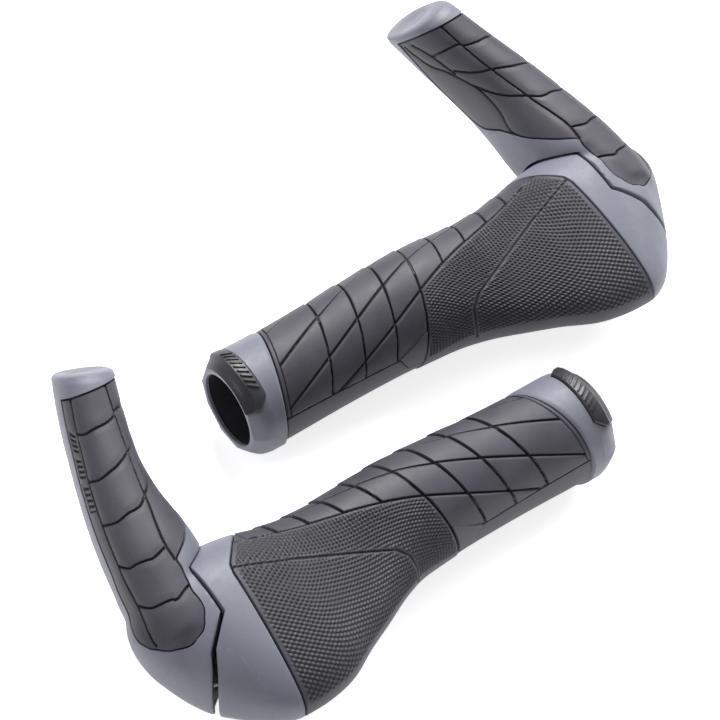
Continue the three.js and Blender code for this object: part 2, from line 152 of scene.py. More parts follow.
# ---- materials ---------------------------------------------------------------------------------
class Nodes:
    """Short names for the node types the materials share."""

    def __init__(self, name):
        self.material = bpy.data.materials.new(name)
        self.material.use_nodes = True
        self.tree = self.material.node_tree
        self.shader = self.tree.nodes["Principled BSDF"]
        self.place = self.tree.nodes.new("ShaderNodeTexCoord").outputs["Object"]

    def link(self, source, socket):
        self.tree.links.new(source, socket)

    def noise(self, size_mm, detail=3, rough=0.5):
        node = self.tree.nodes.new("ShaderNodeTexNoise")
        node.inputs["Scale"].default_value = 1000 / size_mm
        node.inputs["Detail"].default_value = detail
        node.inputs["Roughness"].default_value = rough
        self.link(self.place, node.inputs["Vector"])
        return node.outputs["Fac"]

    def cells(self, size_mm):
        node = self.tree.nodes.new("ShaderNodeTexVoronoi")
        node.inputs["Scale"].default_value = 1000 / size_mm
        self.link(self.place, node.inputs["Vector"])
        return node.outputs["Distance"]

    def range(self, value, low, high, out_low, out_high):
        node = self.tree.nodes.new("ShaderNodeMapRange")
        settings = {"From Min": low, "From Max": high, "To Min": out_low, "To Max": out_high}
        for socket, number in settings.items():
            node.inputs[socket].default_value = number
        self.link(value, node.inputs["Value"])
        return node.outputs["Result"]

    def mix(self, share, first, second):
        node = self.tree.nodes.new("ShaderNodeMix")
        node.data_type = "RGBA"
        self.link(share, node.inputs["Factor"])
        for socket, colour in ((node.inputs[6], first), (node.inputs[7], second)):
            if isinstance(colour, tuple):
                socket.default_value = (*colour, 1)
            else:
                self.link(colour, socket)
        return node.outputs[2]

    def math(self, operation, first, second):
        node = self.tree.nodes.new("ShaderNodeMath")
        node.operation = operation
        for socket, value in zip(node.inputs, (first, second)):
            if isinstance(value, (int, float)):
                socket.default_value = value
            else:
                self.link(value, socket)
        return node.outputs[0]

    def bump(self, height, strength, distance_mm):
        node = self.tree.nodes.new("ShaderNodeBump")
        node.inputs["Strength"].default_value = strength
        node.inputs["Distance"].default_value = distance_mm * MM
        self.link(height, node.inputs["Height"])
        self.link(node.outputs["Normal"], self.shader.inputs["Normal"])

    def groove(self):
        """1 in a groove's bottom, 0 away from it, from the distance held in the mesh: the mask of the shade
        painted into the grooves.
        """
        node = self.tree.nodes.new("ShaderNodeAttribute")
        node.attribute_name = "groove"
        return self.range(node.outputs["Fac"], 0.27, 0.52, 1, 0)

    def edges(self):
        """About 1 on sharp raised edges."""
        pointed = self.tree.nodes.new("ShaderNodeNewGeometry").outputs["Pointiness"]
        return self.range(pointed, 0.56, 0.68, 0, 1)


def rubber(name, light, dark, rough):
    n = Nodes(name)
    cloud = n.range(n.noise(9, 4), 0.35, 0.65, 0, 1)
    speck = n.range(n.noise(0.5, 2), 0.4, 0.6, 0, 1)
    tone = n.mix(cloud, dark, light)
    tone = n.mix(n.math("MULTIPLY", speck, 0.18), tone, tuple(1.5 * c for c in light))
    # painted highlight: sharp raised edges lightened
    tone = n.mix(n.math("MULTIPLY", n.edges(), 0.15), tone, tuple(2.0 * c for c in light))
    # painted shade: the grooves' bottoms darkened almost to black
    tone = n.mix(n.groove(), tone, (0.008, 0.007, 0.010))
    n.link(tone, n.shader.inputs["Base Color"])
    wear = n.math("ADD", n.math("MULTIPLY", cloud, 0.08), n.math("MULTIPLY", speck, 0.06))
    n.link(n.math("ADD", wear, rough), n.shader.inputs["Roughness"])
    n.shader.inputs["Specular IOR Level"].default_value = 0.4
    n.bump(n.math("ADD", n.noise(0.35, 2), n.math("MULTIPLY", n.noise(1.6, 2), 0.8)), 0.35, 0.04)
    return n.material


def plastic(name, light, dark, rough):
    n = Nodes(name)
    cloud = n.range(n.noise(22, 3), 0.3, 0.7, 0, 1)
    grain = n.cells(0.32)
    tone = n.mix(cloud, dark, light)
    tone = n.mix(n.math("MULTIPLY", n.range(n.noise(1.1, 3), 0.45, 0.6, 0, 1), 0.12), tone,
                 tuple(1.25 * c for c in light))
    tone = n.mix(n.math("MULTIPLY", n.edges(), 0.3), tone, tuple(1.5 * c for c in light))
    n.link(tone, n.shader.inputs["Base Color"])
    scuff = n.range(n.noise(3.5, 5, 0.7), 0.4, 0.7, 0, 0.1)
    n.link(n.math("ADD", scuff, rough), n.shader.inputs["Roughness"])
    n.shader.inputs["Specular IOR Level"].default_value = 0.5
    n.bump(n.math("ADD", grain, n.math("MULTIPLY", n.noise(0.9, 2), 0.6)), 0.3, 0.03)
    return n.material


def metal(name, light, dark, rough):
    n = Nodes(name)
    cloud = n.range(n.noise(4, 4), 0.35, 0.65, 0, 1)
    n.link(n.mix(cloud, dark, light), n.shader.inputs["Base Color"])
    n.link(n.range(n.noise(1.2, 4, 0.7), 0.3, 0.7, rough, rough + 0.15), n.shader.inputs["Roughness"])
    n.shader.inputs["Metallic"].default_value = 1
    n.bump(n.noise(0.3, 2), 0.2, 0.02)
    return n.material


GREY = plastic("grey_plastic", (0.140, 0.144, 0.181), (0.117, 0.121, 0.154), 0.52)
RUBBER = rubber("black_rubber", (0.047, 0.044, 0.058), (0.034, 0.032, 0.043), 0.5)
BLACK = plastic("black_plastic", (0.022, 0.021, 0.026), (0.016, 0.015, 0.019), 0.42)
ALLOY = metal("clamp_alloy", (0.55, 0.56, 0.58), (0.45, 0.46, 0.48), 0.32)
BLACK_STEEL = metal("black_steel", (0.035, 0.035, 0.038), (0.022, 0.022, 0.025), 0.35)
ZINC = metal("zinc_steel", (0.50, 0.51, 0.54), (0.38, 0.39, 0.42), 0.3)

# ---- outer form of the grip --------------------------------------------------------------------
# Stations along the bar: x, centre height, main radius, wing reach to the rear, wing tip height,
# wing tip radius.
GRIP_STATIONS = [
    (0, 0, 15.4, 2, 0, 5),
    (13, 0.2, 15.4, 2, 0, 5),
    (32, 1.2, 15.5, 4, 1, 5),
    (50, 2.1, 16.0, 6, 2, 5),
    (63, 2.3, 16.5, 9, 2.5, 5.5),
    (76, 2.2, 15.9, 15, 3.2, 6),
    (86, 2.2, 15.4, 20.5, 3.8, 6),
    (95, 2.4, 15.6, 25, 4.3, 6),
    (104, 2.8, 16.8, 30, 4.7, 6),
    (112, 3.2, 18.3, 32, 4.9, 6),
    (120, 3.5, 19.0, 32.3, 4.9, 6),
    (127, 3.9, 19.1, 29.8, 4.3, 5.8),
    (132, 3.6, 18.8, 25.6, 3.6, 5.2),
    (137, 3.1, 17.7, 19.8, 3.2, 4.6),
    (141, 4.6, 14.0, 14.0, 3.4, 4.2),
    (144, 6.6, 10.8, 8, 5, 4),
    (146, 7.8, 7.8, 5, 6, 3),
    (147.3, 8.8, 4.3, 2, 8, 2),
    (147.8, 9.2, 1.5, 0.5, 9, 0.8),
]
DOME_SPAN = (134, 147.8)              # where the outer end closes to a dome
HULL_POWER = 7                        # how crisply the wing's flat joins the round body
FORM_STEP = 0.5
AROUND = 400                          # columns round the grip
CLEARANCE = 0.3                       # gap between neighbouring pieces


def smoothstep(value, low, high):
    t = np.clip((value - low) / (high - low), 0, 1)
    return t * t * (3 - 2 * t)


def unit(vector):
    return vector / np.linalg.norm(vector, axis=-1, keepdims=True)


def smooth_rows(rows, at):
    """Rows read at the given values of their first column, through a monotone cubic."""
    rows = np.asarray(rows, float)
    x = rows[:, 0]
    slope = np.diff(rows, axis=0) / np.diff(x)[:, None]
    tangent = np.zeros_like(rows)
    tangent[1:-1] = 0.5 * (slope[1:] + slope[:-1])
    tangent[1:-1][slope[1:] * slope[:-1] <= 0] = 0
    tangent[0], tangent[-1] = slope[0], slope[-1]
    inside = np.clip(at, x[0], x[-1])
    k = np.clip(np.searchsorted(x, inside, side="right") - 1, 0, len(x) - 2)
    h = (x[k + 1] - x[k])[:, None]
    t = (inside - x[k])[:, None] / h
    out = ((2 * t**3 - 3 * t**2 + 1) * rows[k] + (t**3 - 2 * t**2 + t) * h * tangent[k]
           + (3 * t**2 - 2 * t**3) * rows[k + 1] + (t**3 - t**2) * h * tangent[k + 1])
    out[:, 0] = at
    return out


def grip_section(rows, angles, grow=0):
    """Sections of the grip: a support-function blend of the round body and the wing's tip."""
    x, height, radius, reach, tip_height, tip_radius = [rows[:, k, None] for k in range(6)]
    c, s = np.cos(angles)[None], np.sin(angles)[None]
    body = np.maximum(radius + grow, 0.3)
    lift = tip_height - height
    tip = np.maximum(tip_radius + grow - reach * c + lift * s, 0)
    slope = np.where(tip > 0, reach * s + lift * c, 0)
    support = (body**HULL_POWER + tip**HULL_POWER) ** (1 / HULL_POWER)
    slope = slope * (tip / support) ** (HULL_POWER - 1)
    along = np.broadcast_to(x + grow * smoothstep(x, *DOME_SPAN), support.shape)
    return np.stack([along, support * c - slope * s, height + support * s + slope * c], -1)


def form_grid(columns, grow=0):
    """Rows every FORM_STEP along the bar; columns at equal lengths round each section, from below."""
    end = GRIP_STATIONS[-1][0]
    at = np.append(np.arange(0, end, FORM_STEP), end)
    fine = np.radians(np.arange(-90, 270.01, 0.25))
    sections = grip_section(smooth_rows(GRIP_STATIONS, at), fine, grow)
    steps = np.linalg.norm(np.diff(sections, axis=1), axis=2)
    grid = np.empty((len(at), columns, 3))
    for k, section in enumerate(sections):
        length = np.append(0, np.cumsum(steps[k]))
        wanted = np.arange(columns) / columns * length[-1]
        for axis in range(3):
            grid[k, :, axis] = np.interp(wanted, length, section[:, axis])
    return grid


GRIP = form_grid(AROUND)

# Borders as plan outlines of [x, y] points.
COLLAR_EDGE = [(2.7, -40), (26, 40)]
PALM_PAD_EDGE = [(121.6, -50), (118.2, -2), (117.4, 1), (108.5, 13), (100, 24.5), (100, 40)]
PARTING = [(149, -50), (138.6, -23), (136, -19.5), (134.2, -16.2), (127.2, -10), (127.2, 40)]
PART_GAP = 0.7


def plan_border(outline, shift=0):
    """The border's x at given points."""
    x, y = np.array(outline, float).T
    return lambda points: np.interp(points[..., 1], y, x) + shift


# ---- tread lines -------------------------------------------------------------------------------
# Ring lines wave round the grip; diagonals wind along it. Angles are in degrees from forward (+y)
# over the top.
RING_WAVE = 5.2
RING_PHASE = 20
PALM_RING = 3                         # the ring line where the dotted palm pad starts
RINGS = 8
DIAGONAL_START = 49.7                 # x where the first diagonal is at 128 degrees
DIAGONAL_SLOPE = 1.5                  # degrees to a millimetre there
DIAGONAL_BEND = 0.0085


def ring_start(k):
    return 29.6 + 11.25 * k - 0.23 * k * k


def turn_of(points):
    turn = np.degrees(np.arctan2(points[..., 2], points[..., 1]))
    return np.where(turn < -130, turn + 360, turn)


def mm_per_degree(points):
    return np.radians(1) * np.hypot(points[..., 1], points[..., 2])


def wave(turn):
    return RING_WAVE * np.cos(np.radians(turn - RING_PHASE))


def palm_ring(points):
    return ring_start(PALM_RING) + wave(turn_of(points))


def diagonal_turn(x):
    d = x - DIAGONAL_START
    return 128 - DIAGONAL_SLOPE * d + DIAGONAL_BEND * d * d


def crossing(level):
    """The place, in rows, where each column's level first rises through zero."""
    above = level >= 0
    row = np.where(above.any(axis=0), np.maximum(np.argmax(above, axis=0), 1), len(level) - 1)
    column = np.arange(level.shape[1])
    before, after = level[row - 1, column], level[row, column]
    return row - 1 + np.clip(before / (before - after + 1e-12), 0, 1)


def read_rows(grid, places):
    k = np.clip(places.astype(int), 0, len(grid) - 2)
    t = (places - k)[..., None]
    column = np.arange(grid.shape[1])
    return grid[k, column] * (1 - t) + grid[k + 1, column] * t


def grid_normals(grid, closed=True):
    """Outward normals of a grid whose columns turn anticlockwise round its rows' direction."""
    down = np.gradient(grid, axis=0)
    if closed:
        across = np.roll(grid, -1, axis=1) - np.roll(grid, 1, axis=1)
    else:
        across = np.gradient(grid, axis=1)
    return unit(np.cross(across, down))


def ring_quads(rows, columns):
    """Quads of a grid that closes on itself both ways."""
    r, c = np.meshgrid(np.arange(rows), np.arange(columns), indexing="ij")
    r2, c2 = (r + 1) % rows, (c + 1) % columns
    corners = [r * columns + c, r * columns + c2, r2 * columns + c2, r2 * columns + c]
    return np.stack(corners, -1).reshape(-1, 4)


def round_off(distance, radius):
    """How far an edge of that radius falls away at a distance from the border."""
    inside = np.clip(radius - distance, 0, radius)
    return radius - np.sqrt(np.maximum(radius**2 - inside**2, 0))


SKIN_DEPTH = 3
SKIN_BORE = 12.8
EDGE_RADIUS = 0.45
INNER_ROWS = 8
NO_GROOVE = 9.0                       # a distance that is far from every groove


def grip_skin(start, end, rows, relief=None, bore=SKIN_BORE, edges=(1, 1)):
    """A closed skin of the grip between two borders: its points, faces and distances to grooves.

    relief(points, to_start, to_end) gives heights and groove distances; edges says which borders
    are rounded.
    """
    first = crossing(GRIP[..., 0] - start(GRIP))
    last = crossing(GRIP[..., 0] - end(GRIP))
    share = np.linspace(0, 1, rows)[:, None]
    outer = read_rows(GRIP, first + (last - first) * share)
    normal = grid_normals(outer)
    length = (last - first) * FORM_STEP
    to_start, to_end = length * share, length * (1 - share)
    height = np.zeros(outer.shape[:2])
    groove = np.full(outer.shape[:2], NO_GROOVE)
    if relief:
        height, groove = relief(outer, to_start, to_end)
    height = height - edges[0] * round_off(to_start, EDGE_RADIUS) - edges[1] * round_off(to_end, EDGE_RADIUS)
    shell = outer + normal * height[..., None]
    picked = np.linspace(rows - 1, 0, INNER_ROWS).astype(int)
    inner = outer[picked] - normal[picked] * SKIN_DEPTH
    radius = np.linalg.norm(inner[..., 1:], axis=2, keepdims=True)
    inner[..., 1:] *= np.maximum(1, bore / radius)
    inner[..., 0] = start(inner) + (end(inner) - start(inner)) * share[picked]
    points = np.concatenate([shell, inner])
    grooves = np.concatenate([groove, np.full(inner.shape[:2], NO_GROOVE)])
    return points.reshape(-1, 3), ring_quads(len(points), AROUND), grooves.ravel()


# Round the hidden underside the tread gives way to a smooth band.
STRIP_LINE = [(0, 166), (48, 166), (51, 186), (150, 186)]
STRIP_FRONT = -110                    # degrees, where the tread starts again in front
GROOVE_DEPTH = (0.6, 1.4)             # on top, in front
GROOVE_HALF_WIDTH = (0.3, 0.42)       # likewise
FRONT_TURNS = (30, 70)                # degrees between which front turns into top
RIM_LINE = 1.1                        # how far from the collar the first line runs
CELL_TILT = 0.34
BEVEL_WIDTH = 0.85
BEVEL_DEPTH = 0.26


def valley(distance, half_width, depth):
    return -depth * (1 - smoothstep(distance, half_width - 0.2, half_width + 0.1))


def groove_size(turn):
    """Half-width and depth of the grooves, which are wider and deeper in front."""
    front = 1 - smoothstep(turn, *FRONT_TURNS)
    top_width, front_width = GROOVE_HALF_WIDTH
    top_depth, front_depth = GROOVE_DEPTH
    return top_width + (front_width - top_width) * front, top_depth + (front_depth - top_depth) * front


def tread_lines(points):
    """Distance to the nearest tread line, the cells' tilt, and how far behind the last diagonal."""
    x = points[..., 0]
    turn = turn_of(points)
    degree = mm_per_degree(points)
    spacing = 36.5 - 0.2 * (x - 35)
    order = (diagonal_turn(x) - turn) / spacing
    slope = degree * (2 * DIAGONAL_BEND * (x - DIAGONAL_START) - DIAGONAL_SLOPE)
    to_mm = spacing * degree / np.sqrt(1 + slope**2)
    nearest = np.maximum(np.round(order), 0)
    diagonal = np.abs(order - nearest) * to_mm
    away = np.full(x.shape, NO_GROOVE)
    for k in range(RINGS):
        ring = np.abs(x - wave(turn) - ring_start(k))
        away = np.minimum(away, np.where((k > PALM_RING) & (order < 0), NO_GROOVE, ring))
    bevel_side = (np.ceil(order) - order) * to_mm
    bevel = np.where(order > -1, np.clip(1 - bevel_side / BEVEL_WIDTH, 0, 1), 0)
    starts = [0] + [ring_start(k) for k in range(RINGS + 3)]
    ring_share = np.modf(np.interp(x - wave(turn), starts, np.arange(len(starts))))[0]
    tilt = CELL_TILT * (ring_share - 0.5 + np.modf(20 + order)[0] - 0.5) - BEVEL_DEPTH * bevel
    return np.minimum(away, diagonal), tilt, -order * to_mm


def tread_relief(points, to_start, _to_end):
    """Ring and diagonal grooves, tilted cells, and the smooth band underneath."""
    x = points[..., 0]
    turn = turn_of(points)
    degree = mm_per_degree(points)
    lines, tilt, _ = tread_lines(points)
    strip = np.interp(x, *np.array(STRIP_LINE, float).T)
    low_side = (turn - strip) * degree
    front_side = (STRIP_FRONT - turn) * degree
    in_strip = np.maximum(low_side, front_side)
    rim = np.abs(to_start - RIM_LINE)
    lines = np.where(to_start < RIM_LINE, NO_GROOVE, np.minimum(lines, rim))
    lines = np.where(in_strip > 0, NO_GROOVE, lines)
    lines = np.minimum(lines, np.abs(in_strip))
    half_width, depth = groove_size(turn)
    tilt = tilt * smoothstep(-in_strip, 0, 1) * smoothstep(to_start, 1, 2)
    height = valley(lines, half_width, depth) + tilt - 0.3 * smoothstep(in_strip, 0, 0.5)
    # the groove distance, scaled so that the painted shade in the grooves widens where they are wider
    return height, lines / (half_width / GROOVE_HALF_WIDTH[0])


# ---- palm pad ----------------------------------------------------------------------------------
DOT_COLUMNS = 4                       # grid columns to a dot
DOT_PERIOD = 2.0                      # along x, for two staggered dots
DOT_HEIGHT = 0.5
PALM_LOWER_EDGE = [(50, 188), (60, 186), (71, 176), (84, 172), (125, 172)]
CREASE = [(118.5, 90), (101.5, 105), (91.5, 118), (81.5, 131), (76, 138), (72.8, 148), (72, 160), (72, 176)]


def triangle(value):
    """1 at whole numbers, 0 half way between them."""
    return np.abs(value - np.floor(value) - 0.5) * 2


def palm_relief(points, to_start, to_end):
    """The dotted palm pad: front tread lines, a crease, and dots that leave the borders free."""
    x = points[..., 0]
    turn = turn_of(points)
    degree = mm_per_degree(points)
    lines, tilt, behind = tread_lines(points)
    low_side = (turn - np.interp(x, *np.array(PALM_LOWER_EDGE, float).T)) * degree
    front_side = (STRIP_FRONT - turn) * degree
    smooth = np.maximum(low_side, front_side)
    lines = np.where(smooth > 0, NO_GROOVE, lines)
    lines = np.minimum(lines, np.abs(front_side))
    crease_x, crease_turn = np.array(CREASE, float).T
    slope = np.gradient(crease_x, crease_turn)
    lean = np.interp(turn, crease_turn, slope) / degree
    crease = (x - np.interp(turn, crease_turn, crease_x)) / np.sqrt(1 + lean**2)
    crease = np.where((turn < crease_turn[0]) | (turn > crease_turn[-1]), NO_GROOVE, crease)
    half_width, depth = groove_size(turn)
    dotted = (smoothstep(behind, 0.5, 1.3) * smoothstep(-smooth, 0.8, 2.2) * smoothstep(to_start, 0.5, 1.2)
              * smoothstep(to_end, 0.8, 1.6) * smoothstep(np.abs(crease), 0.5, 0.9))
    column = np.broadcast_to(np.arange(AROUND) / DOT_COLUMNS, x.shape)
    dots = 0.5 + 0.5 * np.cos(2 * np.pi * column) * np.cos(2 * np.pi * x / DOT_PERIOD)
    fold = np.where(np.abs(crease) < 8, -0.25 * (1 - smoothstep(crease, -2.5, 0)) * (crease < 0), 0)
    height = valley(lines, half_width, depth) + tilt * (1 - smoothstep(behind, -0.2, 0))
    height = height + dotted * DOT_HEIGHT * (dots - 0.5) + valley(np.abs(crease), 0.3, 0.35) + 0.3 * fold
    # painted shade between the dots: their low ground gets a groove distance, so the material darkens it
    valleys = np.where(dotted > 0.5, 0.16 + 0.4 * dots, NO_GROOVE)
    # the groove distance, scaled so that the painted shade in the grooves widens where they are wider
    lines = np.minimum(lines / (half_width / GROOVE_HALF_WIDTH[0]), np.abs(crease))
    return height, np.minimum(lines, valleys)


# ---- making pieces -----------------------------------------------------------------------------
SMOOTH_ANGLE = math.radians(38)


def add_pieces(name, points, faces, look, body, slot, groove=None, replaced=None):
    """One piece for each side, from a right-hand mesh in millimetres.

    body is "grips" or "bar_end"; replaced lists the CAD nodes that the piece stands for.
    """
    replaced = replaced or [name]
    for side, sign in SIDES.items():
        placed = ORIGIN[side] + points * np.array([sign, 1, 1]) * MM
        turned = faces if sign > 0 else [face[::-1] for face in faces]
        mesh = bpy.data.meshes.new(f"{side}_{name}_detail")
        mesh.from_pydata(placed.tolist(), [], [list(face) for face in turned])
        if groove is not None:
            # distances to grooves, which the rubber uses to paint shade into them
            distances = mesh.attributes.new("groove", "FLOAT", "POINT")
            distances.data.foreach_set("value", groove.astype(np.float32))
        mesh.set_sharp_from_angle(angle=SMOOTH_ANGLE)
        mesh.materials.append(look)
        piece = bpy.data.objects.new(f"{side}_{name}_detail", mesh)
        bpy.context.scene.collection.objects.link(piece)
        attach(piece, "grips" if body == "grips" else f"{side}_bar_end")
        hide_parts(*[f"{side}_{node}" for node in replaced])


# Working solids, in millimetres, that are cut and joined before they become pieces.
def solid(points, faces):
    mesh = bpy.data.meshes.new("work")
    mesh.from_pydata(np.asarray(points, float).tolist(), [], [list(face) for face in faces])
    work = bmesh.new()
    work.from_mesh(mesh)
    bmesh.ops.recalc_face_normals(work, faces=work.faces)
    work.to_mesh(mesh)
    work.free()
    thing = bpy.data.objects.new("work", mesh)
    bpy.context.scene.collection.objects.link(thing)
    return thing


def settle(thing):
    """Applies the modifiers."""
    shown = thing.evaluated_get(bpy.context.evaluated_depsgraph_get())
    mesh = bpy.data.meshes.new_from_object(shown)
    thing.modifiers.clear()
    thing.data = mesh


def combine(thing, other, operation):
    cut = thing.modifiers.new("cut", "BOOLEAN")
    cut.operation = operation
    cut.solver = "MANIFOLD"
    cut.object = other
    settle(thing)
    bpy.data.objects.remove(other)
    return thing


def mesh_arrays(thing):
    mesh = thing.data
    points = np.empty(len(mesh.vertices) * 3, np.float32)
    mesh.vertices.foreach_get("co", points)
    return points.reshape(-1, 3).astype(float), [tuple(face.vertices) for face in mesh.polygons]


def loft(rings):
    """A closed skin through rings of points, with a fan at each end."""
    rings = np.asarray(rings, float)
    rows, columns = rings.shape[:2]
    faces = ring_quads(rows, columns)[: (rows - 1) * columns].tolist()
    points = np.concatenate([rings.reshape(-1, 3), rings[[0, -1]].mean(axis=1)])
    for k in range(columns):
        after = (k + 1) % columns
        faces.append([rows * columns, after, k])
        last = (rows - 1) * columns
        faces.append([rows * columns + 1, last + k, last + after])
    return solid(points, faces)


FAR = 60


def prism(outline, low, high):
    count = len(outline)
    points = [(x, y, z) for z in (low, high) for x, y in outline]
    faces = [list(range(count))[::-1], list(range(count, 2 * count))]
    faces += [[k, (k + 1) % count, count + (k + 1) % count, count + k] for k in range(count)]
    return solid(points, faces)


def inboard_of(line, shift=0):
    edge = [(x + shift, y) for x, y in line]
    return prism([(-FAR, edge[0][1]), *edge, (-FAR, edge[-1][1])], -FAR, FAR)


def bar(radius, start, end, axis="x", centre=(0, 0), facets=96):
    turn = np.linspace(0, 2 * np.pi, facets, endpoint=False)
    rings = []
    for at in (start, end):
        a, b = centre[0] + radius * np.cos(turn), centre[1] + radius * np.sin(turn)
        flat = np.full(facets, float(at))
        rings.append(np.stack([flat, a, b] if axis == "x" else [a, b, flat], -1))
    return loft(rings)


# ---- grip pieces -------------------------------------------------------------------------------
TREAD_ROWS = 180
PALM_ROWS = 220
FLANK_ROWS = 70
FLANK_BORE = 14.3


def add_grip_skins():
    collar_border = plan_border(COLLAR_EDGE, CLEARANCE)
    palm_border = plan_border(PALM_PAD_EDGE)
    tread = grip_skin(collar_border, palm_ring, TREAD_ROWS, tread_relief, edges=(1, 0))
    points, faces, grooves = tread
    add_pieces("rubber_grip_tread", points, faces, RUBBER, "grips", "black_rubber", grooves, ["rubber_grip"])
    palm = grip_skin(palm_ring, palm_border, PALM_ROWS, palm_relief, edges=(0, 1))
    points, faces, grooves = palm
    add_pieces("rubber_grip_palm", points, faces, RUBBER, "grips", "black_rubber", grooves, ["rubber_grip"])
    flank_border = plan_border(PALM_PAD_EDGE, CLEARANCE)
    points, faces, _ = grip_skin(flank_border, plan_border(PARTING, -PART_GAP), FLANK_ROWS, bore=FLANK_BORE)
    add_pieces("outer_flank", points, faces, GREY, "grips", "grey_plastic")


# ---- collar and its insert ---------------------------------------------------------------------
COLLAR_RADIUS = 15.9
RIM_APOTHEM = 12.5                    # of the ten-sided bevel at the rim
BEVEL_SLOPE = 0.95
BEVEL_SIDES = 10
BORE_RADIUS = 11.1
SLEEVE_HOLE = 12.8
PLAIN_START = 5.4                     # x where the collar's plain part starts
RIM_SHARPNESS = 14                    # how crisply the bevel meets the collar
SLEEVE_START = 1.1
INSERT_TURNS = (44, 140)              # degrees round the bar
INSERT_PLAY = 0.18
RIB_TURNS = range(68, 118, 6)


def add_collar():
    columns = 360
    turn = np.linspace(0, 2 * np.pi, columns, endpoint=False)
    side = 2 * np.pi / BEVEL_SIDES
    corner = np.cos((turn % side) - side / 2)
    border = np.interp(COLLAR_RADIUS * np.cos(turn), *np.array(COLLAR_EDGE, float)[:, ::-1].T)
    inner_border = np.interp(SLEEVE_HOLE * np.cos(turn), *np.array(COLLAR_EDGE, float)[:, ::-1].T)
    rows = []

    def add_row(x, radius):
        x, radius = np.broadcast_to(x, turn.shape), np.broadcast_to(radius, turn.shape)
        rows.append(np.stack([x, radius * np.cos(turn), radius * np.sin(turn)], -1))

    add_row(SLEEVE_START, SLEEVE_HOLE)
    add_row(SLEEVE_START, BORE_RADIUS)
    add_row(0.3, BORE_RADIUS)
    add_row(0.08, BORE_RADIUS + 0.1)
    add_row(0, BORE_RADIUS + 0.3)
    add_row(0, RIM_APOTHEM / corner - 0.25)
    for x in np.concatenate([[0.05], np.arange(0.2, PLAIN_START, 0.2)]):
        bevel = (RIM_APOTHEM + BEVEL_SLOPE * x) / corner
        add_row(x, (bevel**-RIM_SHARPNESS + COLLAR_RADIUS**-RIM_SHARPNESS) ** (-1 / RIM_SHARPNESS))
    for share in np.linspace(0, 1, 12)[1:]:
        x = PLAIN_START + (border - PLAIN_START) * share
        add_row(x, COLLAR_RADIUS - round_off((1 - share) * (border - PLAIN_START), 0.4))
    add_row(inner_border, SLEEVE_HOLE)
    points = np.concatenate(rows)
    ring = solid(points, ring_quads(len(rows), columns))
    combine(ring, insert_block(INSERT_PLAY), "DIFFERENCE")
    add_pieces("collar", *mesh_arrays(ring), GREY, "grips", "grey_plastic")
    bpy.data.objects.remove(ring)


def insert_block(grow):
    """The dark raised block in the rim: a front face, a bevel and a plateau with slanted ends."""
    middle, half = sum(INSERT_TURNS) / 2, (INSERT_TURNS[1] - INSERT_TURNS[0]) / 2
    turns = np.linspace(middle - half - 2 * grow, middle + half + 2 * grow, 97)
    to_end = np.minimum(turns - turns[0], turns[-1] - turns)
    rise = smoothstep(to_end, 0, 3) if not grow else np.ones_like(turns)
    back = 3.4 + 3.0 * np.clip(to_end / 11, 0, 1) + grow
    top = 16.2 + 0.35 * rise + grow
    profile = [
        (-0.5 - grow, SLEEVE_HOLE + 0.15 - grow),
        (-0.5 - grow, SLEEVE_HOLE + 0.6 + grow),
        (0.9 - grow, 14.6 + grow),
        (1.2 - grow, 14.75 + grow),
        (2.4 - grow, top),
        (back - 0.5, top),
        (back, top - 0.5),
        (back, SLEEVE_HOLE + 0.15 - grow),
    ]
    rings = []
    for k, turn in enumerate(np.radians(turns)):
        ring = []
        for x, radius in profile:
            at = x[k] if np.ndim(x) else x
            r = radius[k] if np.ndim(radius) else radius
            ring.append((at, r * math.cos(turn), r * math.sin(turn)))
        rings.append(ring)
    return loft(rings)


def insert_rib(turn):
    """One slanted raised rib on the insert's plateau."""
    width, slant, low, high = 1.1, 3.2, 2.9, 5.6
    rings = []
    for x, shift in ((low, -slant), (high, slant)):
        ring = []
        for side, radius in ((-width, 16.0), (width, 16.0), (width * 0.7, 16.95), (-width * 0.7, 16.95)):
            angle = math.radians(turn + shift + side)
            ring.append((x, radius * math.cos(angle), radius * math.sin(angle)))
        rings.append(ring)
    return loft(rings)


def add_insert():
    block = insert_block(0)
    for turn in RIB_TURNS:
        combine(block, insert_rib(turn), "UNION")
    bevel = block.modifiers.new("edges", "BEVEL")
    bevel.width = 0.12
    bevel.segments = 2
    bevel.limit_method = "ANGLE"
    bevel.angle_limit = math.radians(30)
    settle(block)
    add_pieces("collar_insert", *mesh_arrays(block), BLACK, "grips", "black_plastic")
    bpy.data.objects.remove(block)


# ---- bar end -----------------------------------------------------------------------------------
BAR_END_ORIGIN_Y = 40
BAR_END_SPAN = 30
BAR_END_LEAN = 0.1
BAR_END_FACE = unit(np.array([-0.3, 0.64, 0.71]))
FACE_BLEND = (42, 66)
SECTION_POWER = 2.3
# Rows: y, share of half-width to the inner side, share to the outer side, share of half-height.
BAR_END_STATIONS = [
    (-9, 0.3, 0.9, 0.72),
    (-3, 0.45, 1, 0.84),
    (4, 0.8, 1.04, 0.9),
    (12, 1.25, 1.04, 0.96),
    (20, 1.35, 1, 1),
    (28, 1.3, 1, 1),
    (38, 1.12, 1, 1),
    (50, 1, 1, 1),
    (60, 1.01, 1.04, 1),
    (71, 1.01, 1.07, 1),
    (72.5, 1, 1.06, 0.94),
    (73.1, 0.92, 0.97, 0.91),
    (73.4, 0.7, 0.76, 0.7),
    (73.5, 0.36, 0.42, 0.36),
]


def bar_axis(y):
    u = (y - BAR_END_ORIGIN_Y) / BAR_END_SPAN
    return np.stack([127.9 - 7.2 * u - 2.5 * u * u, y, 15.7 + 8.7 * u + 2.9 * u * u], -1)


